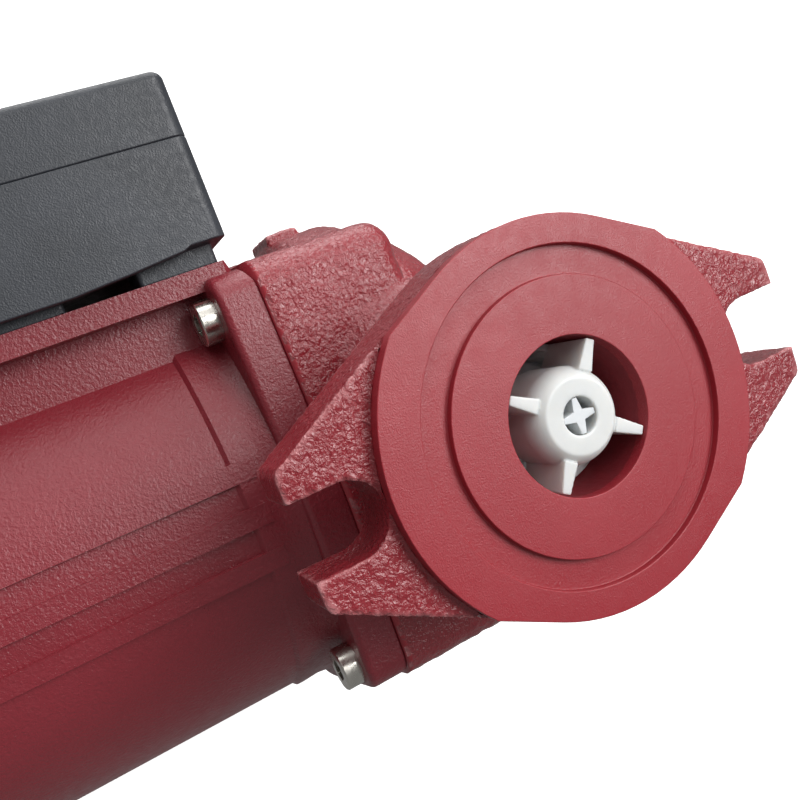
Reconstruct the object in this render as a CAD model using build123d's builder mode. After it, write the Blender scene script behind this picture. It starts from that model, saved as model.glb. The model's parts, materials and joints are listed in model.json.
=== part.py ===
from build123d import *
import os
from math import cos, radians, sin

# A wet-rotor circulator pump for a heating loop, with a check valve in its discharge port.
# The pipe axis is Z, from the suction flange's face at Z = 0 up to the discharge flange's face.
# The shaft axis crosses it at mid height and runs along Y. The motor reaches towards -Y and
# carries its terminal box on its -X side.

# ---------------------------------------------------------------- driving dimensions
PORT_TO_PORT = 165.0
SHAFT_HEIGHT = PORT_TO_PORT / 2
RUNNING_GAP = 0.05
LOOSE_GAP = 0.3

# pipe flanges
PORT_RADIUS = 12.8
FLANGE_RADIUS = 32.0
FLANGE_THICKNESS = 14.1
FACE_RADIUS = 34.0
EAR_STEP = 2.7
EAR_REACH = 47.8
EAR_HALF_WIDTH = 11.4
EAR_TIP_RADIUS = 1.8
SLOT_RADIUS = 6.0
SLOT_CENTRE = 40.0
GROOVE_INNER = 22.4
GROOVE_OUTER = 27.2
GROOVE_DEPTH = 1.3
NECK_RADIUS = 20.5
NECK_BLEND = 9.0
SUCTION_BORE_LENGTH = 24.0

# pump body: distances are from the pipe axis, positive towards the motor
BODY_RADIUS = 47.2
BODY_FRONT = -18.2
BODY_FRONT_RADIUS = 26.0
BODY_ARC_POINT = (-12.8, 39.0)
BODY_SHOULDER = -2.0
JOINT = 30.0
JOINT_RADIUS = 47.2
JOINT_CENTRE_X = 1.8
# the scroll, in two lobes: centre, and span towards the motor
SCROLL_LOBES = (((3.5, -1.5), (0.0, 28.0)), ((-1.5, -8.0), (-4.0, 14.0)))
SCROLL_RADIUS = 49.0
SCROLL_EDGE = 4.0
SCREW_X = 35.6
SCREW_Z = 36.0
LOBE_X = (-37.2, 35.2)
LOBE_Z = (-38.0, 38.0)
LOBE_RADIUS = 6.5
JOINT_FLANGE_THICKNESS = 28.5
JOINT_FLANGE_ROUND = 4.5
# where each end of the neck flares out: distances from the near port's face, foot and its shift
FLARE_SPAN = (28.0, 39.0)
FLARE_FOOT = (31.0, 24.0)
FLARE_SHIFT = 6.0
# a low cast pad on the scroll's side: middle of its length, up from the shaft, its size, its reach
CAST_PAD_PLACE = (8.4, -8.0)
CAST_PAD_SIZE = (8.0, 16.0)
CAST_PAD_REACH = 51.8
CAST_PAD_EDGE = 0.8
CHAMBER_RADIUS = 39.5
CHAMBER_START = 12.5
REGISTER_RADIUS = 42.0
REGISTER_DEPTH = 3.0
EYE_SEAT_RADIUS = 13.6
EYE_SEAT = 8.0
EYE_POCKET_RADIUS = 15.0
EYE_POCKET_START = -12.4
# the suction way's last stretch: a rounded rectangle, from a height up to the shaft
DUCT_HEIGHT = 44.0
DUCT_SIZE = (24.0, 18.4)
DUCT_OFFSET = 3.2
DUCT_CORNER = 5.0
# the discharge way starts in the chamber's roof
OUTLET_RISE = 28.0
OUTLET_SIZE = (24.0, 15.0)
OUTLET_OFFSET = 20.5
OUTLET_CORNER = 4.0
OUTLET_RADIUS = 10.5
OUTLET_NECK = 4.0
TAPPED_DEPTH = 16.0

# motor
MOTOR_RADIUS = 44.0
MOTOR_BORE = 40.8
MOTOR_END = 126.0
MOTOR_END_ROUND = 6.0
END_WALL = 5.0
MOTOR_FLANGE_THICKNESS = 8.0
SCREW_SEAT = JOINT + MOTOR_FLANGE_THICKNESS
# the joint face falls away next to the lip, from one distance off the shaft axis to another
RELIEF_SPAN = (38.5, 46.0)
RELIEF_DEPTH = 2.8
RELIEF_CLEAR = 20.0
MOTOR_FLANGE_INSET = 0.8
MOTOR_FLANGE_ROUND = 1.4
MOTOR_FLANGE_CHAMFER = 0.4
COVE_START = (36.8, 45.8)
COVE_MIDDLE = (39.2, 45.0)
COVE_END = (42.4, 44.55)
BEAD_FLAT = 45.4
BEAD_EDGE = 0.4
BEAD_RADIUS = 44.75
BEAD_START = 43.6
BEAD_END = 47.2
RIB_WIDTH = 3.8
RIB_HEIGHT = 0.8
RIB_ROOT = 1.0
RIB_STEP_DEGREES = 11.0
RIB_END = 121.0
PAD_HEIGHT = 45.4
PAD_HALF_WIDTH = 37.0
PAD_LIP = 4.4
PAD_WALL_HALF_WIDTH = 31.0
PAD_END = 121.0
PAD_CORNER = 3.0
TAIL_START = 115.0
TAIL_BORE = 9.9
TAIL_BOSS = 14.0
NAMEPLATE_RADIUS = 34.0
NAMEPLATE_BORE = 16.0
NAMEPLATE_SEAT = 0.6
NAMEPLATE_THICKNESS = 0.5
VENT_BORE = 8.05
VENT_SEAT_RADIUS = 10.6
VENT_SEAT_DEPTH = 1.0

# screws
SCREW_SHANK = 2.5
SCREW_HOLE = 2.7
SCREW_LENGTH = 22.0
SCREW_HEAD_RADIUS = 4.25
SCREW_HEAD_HEIGHT = 3.5
SCREW_KEY = 4.0
HEAD_BEVEL = 0.08
SOCKET_DEPTH = 0.55
HEAD_ROUND = 0.45
SLOT_SHARE = 0.3
SLOT_SHARE_DEPTH = 0.5
BOX_SCREW_PLACES = ((44.0, 106.0), (-27.0, 27.0))
BOX_SCREW_TAP = 1.75
BOX_SCREW_TAP_DEPTH = 9.0

# rotor
SHAFT_RADIUS = 5.0
SHAFT_START = 10.5
SHAFT_END = 111.0
SHAFT_BEVEL = 0.5
ON_SHAFT = SHAFT_RADIUS + RUNNING_GAP
ROTOR_RADIUS = 22.0
ROTOR_START = 52.0
ROTOR_END = 92.0
END_RING_LENGTH = 4.0
SLEEVE_WALL = 0.4
SLEEVE_REACH = 4.6
CAN_RADIUS = 23.0
CAN_WALL = 0.5
CAN_START = 30.05
CAN_SHOULDER = 101.0
CAN_TAIL_RADIUS = 9.1
CAN_END = 119.0
STATOR_BORE = 24.0
STATOR_RADIUS = 40.4
STATOR_SLOTS = 12
SLOT_WIDTH = 5.6
SLOT_DEPTH = (26.0, 34.5)
SLOT_MOUTH = 2.0
SLOT_LINER = 0.3
END_TURN_LENGTH = 9.0
END_TURN_GAP = 0.4
END_TURN_RADII = (25.0, 37.5)
END_TURN_BEVEL = 1.5
# plain rings on the shaft: start, end, inner radius, outer radius
WEAR_RING = (8.2, 12.4, 12.6, EYE_SEAT_RADIUS - RUNNING_GAP)
HOUSING_GASKET = (27.05, 28.35, 39.6, 41.8)
FRONT_BEARING = (30.5, 38.6, ON_SHAFT, 9.95)
REAR_BEARING = (102.4, 110.4, ON_SHAFT, CAN_TAIL_RADIUS - RUNNING_GAP)
THRUST_BEARING = (39.0, 42.0, ON_SHAFT, 10.0)
ROTOR_CORE = (ROTOR_START, ROTOR_END, ON_SHAFT, ROTOR_RADIUS - RUNNING_GAP)
END_RINGS = [
    (start, start + END_RING_LENGTH, 8.0, 21.0) for start in (ROTOR_START - END_RING_LENGTH, ROTOR_END)
]
# half sections of the other turned pieces: points are (distance, radius)
BEARING_PLATE = (
    (28.4, 6.5), (28.4, 41.7), (30.0, 41.7), (30.0, 13.0), (38.4, 13.0), (38.4, 10.0), (30.4, 10.0),
    (30.4, 6.5),
)
THRUST_HOLDER = ((42.1, ON_SHAFT), (42.1, 11.2), (45.6, 9.5), (45.6, ON_SHAFT))
VENT_PLUG = (
    (120.5, 0), (120.5, 7.2), (121.3, 8.0), (126.8, 8.0), (126.8, 11.6), (129.4, 11.6), (130.0, 11.0),
    (130.0, 0),
)
VENT_PLUG_SLOT = (30.0, 2.4, 1.8)
# sealing rings: place along the shaft, ring radius, cord radius
CAN_SEAL = (31.7, 40.85, 1.0)
VENT_SEAL = (125.9, 9.4, 0.72)

# impeller
IMPELLER_RADIUS = 37.0
IMPELLER_HUB = (
    (13.7, ON_SHAFT), (13.7, 7.6), (21, 9.6), (23, 14), (23, IMPELLER_RADIUS), (24.6, IMPELLER_RADIUS),
    (24.6, 11), (27, 9), (27, ON_SHAFT),
)
IMPELLER_COVER = (
    (8.6, 10.9), (8.6, 12.3), (13.6, 12.3), (15.1, 14.5), (15.1, IMPELLER_RADIUS),
    (16.5, IMPELLER_RADIUS), (16.5, 13), (15, 10.9),
)
VANE_COUNT = 6
VANE_START = 16.6
VANE_HEIGHT = 7.0
VANE_THICKNESS = 1.6
VANE_SWEEP_DEGREES = 62.0
VANE_BOW = 0.42
VANE_INNER_RADIUS = 12.5
VANE_OUTER_RADIUS = 36.0
NUT_START = 10.9
NUT_HEIGHT = 2.7
NUT_FLATS = 14.0

# terminal box: heights are from the shaft axis, positive towards -X
BOX_START = 31.0
BOX_END = 119.0
BOX_HALF_WIDTH = 40.5
BOX_BASE = 49.2
BOX_SPLIT = 68.3
BOX_TOP = 80.7
BOX_WALL = 2.4
BOX_CORNER = 2.5
FLOOR = 2.4
LID_WALL = 2.4
LID_SCREW_INSET = 6.8
KNOB_RADIUS = 12.0
KNOB_PLACE = (98.0, 0.0)
KNOB_STEM_RADIUS = 4.0
KNOB_RECESS = 1.0
KNOB_RECESS_RADIUS = 13.2
GLAND_ALONG = 96.0
GLAND_HEIGHT = 60.0
GLAND_HOLE_RADIUS = 6.3
GLAND_FLATS = 16.0
GLAND_HEX_HEIGHT = 5.0
GLAND_THREAD = 8.5
GLAND_THREAD_BORE = 4.2
GLAND_BARREL = 13.0
GLAND_BARREL_RADIUS = 6.9
GLAND_END = 18.5
GLAND_NUT_RADIUS = 8.2
GLAND_NUT_ROUND = 3.2
GLAND_NUT_BORE = 7.0
GLAND_MOUTH = 3.8
GRIP_GROOVES = 16
GRIP_GROOVE_RADIUS = 0.9
GRIP_GROOVE_LENGTH = 8.5
LOCKNUT_FLATS = 15.6
LOCKNUT_HEIGHT = 3.0
CABLE_BORE = 3.2
SEAL_RADIUS = 5.3
SEAL_START = 6.2
SEAL_LENGTH = 8.0
LEAD_PLACE = (112.8, -14.7)
LEAD_HOLE_RADIUS = 3.5
LEAD_HOLE_DEPTH = 9.4
LEAD_START = (30.0, ROTOR_END + 9.6)
LEAD_BEND = 3.0
WIRE_HEIGHT = 57.0
WIRE_RADIUS = 0.9
WIRE_PITCH = 2.3
BOX_LENGTH = BOX_END - BOX_START
BOX_MIDDLE = (BOX_START + BOX_END) / 2
LID_EDGE = 1.8
INNER_CORNER = 1.0
SKIRT_HEIGHT = 46.9
SKIRT_STEP = ((7.0, BOX_BASE), (8.5, BOX_BASE - 0.6), (19.0, 47.6), (29.0, SKIRT_HEIGHT))
SKIRT_ROOT = 1.0
FOOT_SPANS = ((33.5, 48.5), (62.0, 88.0), (101.5, 116.0))
FOOT_INNER = 24.0
FOOT_OUTER = 36.4
FOOT_CORNER = 0.8
FLOOR_TOP = BOX_BASE + FLOOR
POST_RADIUS = 4.6
POST_TAP = 1.45
POST_TAP_DEPTH = 14.0
REBATE = 1.2
BASE_REBATE_DEPTH = 1.0
LID_REBATE_DEPTH = 0.6
GASKET_THICKNESS = 1.4
LID_CEILING = BOX_TOP - LID_WALL
LID_SCREW_SEAT = 76.4
LID_SCREW_WELL = 3.6
LID_SCREW_CLEARANCE = 1.9
FLOOR_SCREW_CLEARANCE = 2.0
GROUND_PLACE = (66.0, 0.0)
GROUND_HEIGHT = 56.0
GROUND_TAP = 1.75
GROUND_TAP_DEPTH = 5.5
BLOCK_SPAN = (52.0, 84.0)
BLOCK_MIDDLE_UP = -27.0
BLOCK_WIDTH = 14.0
BLOCK_TOP = 63.0
BLOCK_BEVEL = 1.6
WELL_DEPTH = 4.0
WELL_RADIUS = 2.2
TERMINAL_TAP = 1.3
TERMINAL_TUNNEL = 1.5
TERMINALS = (58.0, 68.0, 78.0)
CAPACITOR_PLACE = (73.0, 22.0)
CAPACITOR_SIZE = (42.0, 17.0, 19.0)
CAPACITOR_CORNER = 3.0
CAPACITOR_EDGE = 1.2
SWITCH_SIZE = 22.0
SWITCH_HEIGHT = 20.0
SWITCH_SOCKET = 8.0
KNOB_BASE = BOX_TOP - KNOB_RECESS + LOOSE_GAP
KNOB_DISC = 3.4
KNOB_DISC_EDGE = 0.9
KNOB_GRIP = 5.0
KNOB_GRIP_WIDTH = 6.0
KNOB_GRIP_INSET = 1.25
KNOB_GRIP_EDGE = 0.8
KNOB_STEM_LENGTH = 14.0
# pan screws: head radius, head height, shank radius, shank length
BOX_SCREW = (3.3, 2.4, 1.7, 13.5)
LID_SCREW = (3.2, 2.4, 1.4, 18.0)
GROUND_SCREW = (3.8, 2.6, 1.7, 5.0)
TERMINAL_SCREW = (1.9, 1.6, 1.2, 1.0)

# check valve: heights are below the discharge flange's face
VALVE_SHOULDER = 31.5
VALVE_RADIUS = 12.45
HUB_TOP = 0.0
HUB_BOTTOM = 12.5
HUB_RADIUS = 8.1
HUB_WALL = 1.2
HUB_ROOF = 4.2
STEM_BORE = 3.1
SLEEVE_TOP = 12.0
SLEEVE_BOTTOM = 21.0
SLEEVE_BORE = 11.2
FIN_COUNT = 4
FIN_START_DEGREES = 57.0
FIN_ROOT = (7.3, 1.25)
GUIDE_ROOT = (10.2, 0.95)
FIN_TIP = (VALVE_RADIUS, 0.75)
FIN_TOP = 0.6
DISC_TOP = 17.9
DISC_RADIUS = 9.8
DISC_THICKNESS = 2.0
DISC_EDGE = 0.4
TAIL_RADII = (6.6, 5.4)
TAIL_DEPTHS = (23.0, 25.5)
STEM_ARMS = 4
STEM_ARM_RADIUS = 2.95
STEM_ARM_HALF_WIDTH = 0.45
STEM_CORE_RADIUS = 1.25
STEM_TOP = 0.4
STEM_TURN_DEGREES = 87.0
SEAT_LIP_TOP = 20.7
SEAT_LIP = 0.9
SEAT_LIP_ROOT = 1.4
SEAT_BORE = 8.4
VALVE_RING_PLACE = 26.0
VALVE_RING_RADIUS = 12.0
VALVE_RING_CORD = 0.75
VALVE_RING_GROOVE = (11.2, 1.0)
POPPET_SEAL_RADII = (6.8, 9.6)
POPPET_SEAL_THICKNESS = 0.6
SPRING_RADIUS = 5.0
SPRING_WIRE = 0.45
SPRING_TURNS = 6
SPRING_TOP = 5.15
SPRING_BOTTOM = 17.4

os.makedirs("parts", exist_ok=True)

JOINT_SCREWS = [(x, z) for x in (-SCREW_X, SCREW_X) for z in (-SCREW_Z, SCREW_Z)]
JOINT_LOBES = [(x, z) for x in LOBE_X for z in LOBE_Z]

# ---------------------------------------------------------------- planes and axes
SHAFT_AXIS = Axis((0, 0, SHAFT_HEIGHT), (0, -1, 0))
# through the shaft: local X runs towards the motor, local Y is the radius
SECTION = Plane(origin=(0, 0, SHAFT_HEIGHT), x_dir=(0, -1, 0), z_dir=(-1, 0, 0))


def across(distance):
    """A plane across the shaft, facing the motor, at a distance from the pipe axis."""
    return Plane(origin=(0, -distance, SHAFT_HEIGHT), x_dir=(1, 0, 0), z_dir=(0, -1, 0))


def level(height):
    """A plane facing out of the terminal box: local X runs along the motor, local Y is up."""
    return Plane(origin=(-height, 0, SHAFT_HEIGHT), x_dir=(0, -1, 0), z_dir=(-1, 0, 0))


def side(up):
    """A plane facing down, at a height above the shaft: local X runs along the motor, local Y is -X."""
    return Plane(origin=(0, 0, SHAFT_HEIGHT + up), x_dir=(0, -1, 0), z_dir=(0, 0, -1))


GLAND_PLANE = Plane(
    origin=(-GLAND_HEIGHT, -GLAND_ALONG, SHAFT_HEIGHT - BOX_HALF_WIDTH), x_dir=(1, 0, 0), z_dir=(0, 0, -1)
)


# ---------------------------------------------------------------- shared shapes
def turned(*points):
    """The half section of a piece turned about the shaft: points are (distance, radius)."""
    with BuildSketch(SECTION) as half:
        with BuildLine():
            Polyline(*points, close=True)
        make_face()
    return half.sketch


def ring(start, end, inner, outer):
    """The half section of a plain ring on the shaft."""
    return turned((start, inner), (start, outer), (end, outer), (end, inner))


def piped(*points):
    """The half section of a piece turned about the pipe axis: points are (radius, height)."""
    with BuildSketch(Plane.XZ) as half:
        with BuildLine():
            Polyline(*points, close=True)
        make_face()
    return half.sketch


def ear_outline():
    """The outline of a pipe flange: a disc with a blunt ear each way along the motor axis."""
    with BuildSketch() as outline:
        Circle(FLANGE_RADIUS)
        with GridLocations(
            2 * (EAR_HALF_WIDTH - EAR_TIP_RADIUS), 2 * (EAR_REACH - EAR_TIP_RADIUS), 2, 2
        ):
            Circle(EAR_TIP_RADIUS)
        make_hull()
    return outline.sketch


def joint_outline(inset):
    """The outline of a housing at the joint: a disc and a lobe around each screw, drawn in a little."""
    with BuildSketch(across(JOINT)) as outline:
        with Locations((JOINT_CENTRE_X, 0)):
            Circle(JOINT_RADIUS - inset)
        with Locations(*JOINT_LOBES):
            Circle(LOBE_RADIUS - inset)
        make_hull()
    return outline.sketch


def socket_screw(plane, head_radius, head_height, shank_radius, length, key):
    """A socket-head cap screw whose head sits on the plane and whose shank runs behind it."""
    with BuildPart(plane) as screw:
        Cylinder(head_radius, head_height, align=(Align.CENTER, Align.CENTER, Align.MIN))
        chamfer(screw.edges().group_by(facing(plane))[-1], head_height * HEAD_BEVEL)
        Cylinder(shank_radius, length, align=(Align.CENTER, Align.CENTER, Align.MAX))
        with BuildSketch(plane.offset(head_height)):
            RegularPolygon(key / 2, 6, major_radius=False)
        extrude(amount=-head_height * SOCKET_DEPTH, mode=Mode.SUBTRACT)
    return screw.part


def pan_screw(plane, head_radius, head_height, shank_radius, length):
    """A slotted pan-head screw whose head sits on the plane and whose shank runs behind it."""
    with BuildPart(plane) as screw:
        Cylinder(head_radius, head_height, align=(Align.CENTER, Align.CENTER, Align.MIN))
        fillet(screw.edges().group_by(facing(plane))[-1], head_height * HEAD_ROUND)
        Cylinder(shank_radius, length, align=(Align.CENTER, Align.CENTER, Align.MAX))
        with BuildSketch(plane.offset(head_height)):
            Rectangle(2 * head_radius, head_radius * SLOT_SHARE)
        extrude(amount=-head_height * SLOT_SHARE_DEPTH, mode=Mode.SUBTRACT)
    return screw.part


def facing(plane):
    """The direction in which a plane faces, as an axis to sort by."""
    return Axis(plane.origin, plane.z_dir)


def shifted(plane, along, up):
    """The same plane with its origin moved within it."""
    return Plane(origin=plane.from_local_coords((along, up, 0)), x_dir=plane.x_dir, z_dir=plane.z_dir)


def o_ring(plane, ring_radius, cord_radius):
    """A round-section sealing ring lying in a plane."""
    with BuildPart(plane) as ring:
        Torus(ring_radius, cord_radius)
    return ring.part


# ---------------------------------------------------------------- pump housing
VALVE_BOTTOM = PORT_TO_PORT - VALVE_SHOULDER

with BuildPart() as joint_flange:
    extrude(joint_outline(0), amount=-JOINT_FLANGE_THICKNESS)
    fillet(joint_flange.edges().group_by(SHAFT_AXIS)[0], JOINT_FLANGE_ROUND)

with BuildPart() as cast_pad:
    with BuildSketch(level(0)):
        with Locations(CAST_PAD_PLACE):
            Rectangle(*CAST_PAD_SIZE)
    extrude(amount=CAST_PAD_REACH)
    fillet(cast_pad.faces().sort_by(Axis.X)[0].edges(), CAST_PAD_EDGE)

with BuildPart() as pump_housing:
    # the body and the vertical neck run into each other with a wide cast radius
    with BuildSketch(SECTION):
        with BuildLine():
            Line((BODY_FRONT, 0), (BODY_FRONT, BODY_FRONT_RADIUS))
            ThreePointArc(
                (BODY_FRONT, BODY_FRONT_RADIUS), BODY_ARC_POINT, (BODY_SHOULDER, BODY_RADIUS)
            )
            Line((BODY_SHOULDER, BODY_RADIUS), (JOINT, BODY_RADIUS))
            Line((JOINT, BODY_RADIUS), (JOINT, 0))
            Line((JOINT, 0), (BODY_FRONT, 0))
        make_face()
    revolve(axis=SHAFT_AXIS)
    with BuildSketch(Plane.XY.offset(FLANGE_THICKNESS / 2)):
        Circle(NECK_RADIUS)
    extrude(amount=PORT_TO_PORT - FLANGE_THICKNESS)
    neck_creases = pump_housing.edges().filter_by(GeomType.BSPLINE)
    fillet(neck_creases, NECK_BLEND)
    # the scroll swells the body, most on the side away from the terminal box
    for (x, z), span in SCROLL_LOBES:
        middle = Vector(x, 0, SHAFT_HEIGHT + z)
        with BuildSketch(Plane(origin=middle, x_dir=(0, -1, 0), z_dir=(-1, 0, 0))) as scroll:
            with Locations((span[0], 0)):
                Rectangle(span[1] - span[0], SCROLL_RADIUS, align=(Align.MIN, Align.MIN))
            fillet(scroll.vertices().group_by(Axis.Z)[-1], SCROLL_EDGE)
        revolve(axis=Axis(middle, (0, -1, 0)))
    add(cast_pad.part)
    # the thick joint flange, with its far edge well rounded
    add(joint_flange.part)
    # each end of the neck flares out onto the body's sides and towards the motor
    for base, direction in ((Plane.XY, 1), (Plane.XY.offset(PORT_TO_PORT), -1)):
        with BuildSketch(base.offset(direction * FLARE_SPAN[0])):
            Circle(NECK_RADIUS)
        with BuildSketch(base.offset(direction * FLARE_SPAN[1])):
            with Locations((0, -FLARE_SHIFT)):
                Ellipse(*FLARE_FOOT)
        loft()
    # both pipe flanges, each with a machined face that stands proud of its ears
    for base, direction in ((Plane.XY, 1), (Plane.XY.offset(PORT_TO_PORT), -1)):
        with BuildSketch(base):
            add(ear_outline())
        extrude(amount=direction * FLANGE_THICKNESS)
        with BuildSketch(base):
            Rectangle(4 * FACE_RADIUS, 4 * FACE_RADIUS)
            Circle(FACE_RADIUS, mode=Mode.SUBTRACT)
        extrude(amount=direction * EAR_STEP, mode=Mode.SUBTRACT)
        with BuildSketch(base):
            Circle(GROOVE_OUTER)
            Circle(GROOVE_INNER, mode=Mode.SUBTRACT)
        extrude(amount=direction * GROOVE_DEPTH, mode=Mode.SUBTRACT)
        with BuildSketch(base):
            with Locations((0, SLOT_CENTRE), (0, -SLOT_CENTRE)):
                Circle(SLOT_RADIUS)
            with Locations((0, SLOT_CENTRE + SLOT_RADIUS), (0, -SLOT_CENTRE - SLOT_RADIUS)):
                Rectangle(2 * SLOT_RADIUS, 2 * SLOT_RADIUS)
        extrude(amount=direction * FLANGE_THICKNESS, mode=Mode.SUBTRACT)
    # the impeller chamber, the register of the bearing plate and the seat of the wear ring
    with BuildSketch(across(CHAMBER_START)):
        Circle(CHAMBER_RADIUS)
    extrude(amount=JOINT - CHAMBER_START, mode=Mode.SUBTRACT)
    with BuildSketch(across(JOINT)):
        Circle(REGISTER_RADIUS)
    extrude(amount=-REGISTER_DEPTH, mode=Mode.SUBTRACT)
    with BuildSketch(across(CHAMBER_START)):
        Circle(EYE_SEAT_RADIUS)
    extrude(amount=EYE_SEAT - CHAMBER_START, mode=Mode.SUBTRACT)
    # the suction way: up from the port, past the chamber and round to the impeller's eye
    with BuildSketch(Plane.XY):
        Circle(PORT_RADIUS)
    extrude(amount=SUCTION_BORE_LENGTH, mode=Mode.SUBTRACT)
    with BuildSketch(Plane.XY.offset(SUCTION_BORE_LENGTH)):
        Circle(PORT_RADIUS)
    with BuildSketch(Plane.XY.offset(DUCT_HEIGHT)):
        with Locations((0, DUCT_OFFSET)):
            RectangleRounded(*DUCT_SIZE, DUCT_CORNER)
    loft(mode=Mode.SUBTRACT)
    with BuildSketch(Plane.XY.offset(DUCT_HEIGHT)):
        with Locations((0, DUCT_OFFSET)):
            RectangleRounded(*DUCT_SIZE, DUCT_CORNER)
    extrude(amount=SHAFT_HEIGHT - DUCT_HEIGHT, mode=Mode.SUBTRACT)
    with BuildSketch(across(EYE_POCKET_START)):
        Circle(EYE_POCKET_RADIUS)
    extrude(amount=EYE_SEAT - EYE_POCKET_START, mode=Mode.SUBTRACT)
    # the discharge way: from the chamber's top to the seat of the check valve
    with BuildSketch(Plane.XY.offset(SHAFT_HEIGHT + OUTLET_RISE)):
        with Locations((0, -OUTLET_OFFSET)):
            RectangleRounded(*OUTLET_SIZE, OUTLET_CORNER)
    with BuildSketch(Plane.XY.offset(VALVE_BOTTOM - OUTLET_NECK)):
        Circle(OUTLET_RADIUS)
    loft(mode=Mode.SUBTRACT)
    with BuildSketch(Plane.XY.offset(VALVE_BOTTOM)):
        Circle(OUTLET_RADIUS)
    extrude(amount=-OUTLET_NECK, mode=Mode.SUBTRACT)
    with BuildSketch(Plane.XY.offset(PORT_TO_PORT)):
        Circle(PORT_RADIUS)
    extrude(amount=-VALVE_SHOULDER, mode=Mode.SUBTRACT)
    # the tapped holes
    with BuildSketch(across(JOINT)):
        with Locations(*JOINT_SCREWS):
            Circle(SCREW_HOLE)
    extrude(amount=-TAPPED_DEPTH, mode=Mode.SUBTRACT)
pump_housing.part.label = "pump_housing"
export_step(pump_housing.part, "parts/pump_housing.step")


with BuildPart() as wear_ring:
    revolve(ring(*WEAR_RING), axis=SHAFT_AXIS)
wear_ring.part.label = "wear_ring"
export_step(wear_ring.part, "parts/wear_ring.step")

with BuildPart() as housing_gasket:
    revolve(ring(*HOUSING_GASKET), axis=SHAFT_AXIS)
housing_gasket.part.label = "housing_gasket"
export_step(housing_gasket.part, "parts/housing_gasket.step")

# ---------------------------------------------------------------- motor housing
BOX_SCREWS = [(along, up) for along in BOX_SCREW_PLACES[0] for up in BOX_SCREW_PLACES[1]]
INNER_END = MOTOR_END - END_WALL
VENT_SEAT = MOTOR_END - VENT_SEAT_DEPTH

with BuildPart() as motor_flange:
    extrude(joint_outline(MOTOR_FLANGE_INSET), amount=MOTOR_FLANGE_THICKNESS)
    fillet(motor_flange.edges().group_by(SHAFT_AXIS)[-1], MOTOR_FLANGE_ROUND)
    chamfer(motor_flange.edges().group_by(SHAFT_AXIS)[0], MOTOR_FLANGE_CHAMFER)

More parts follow.
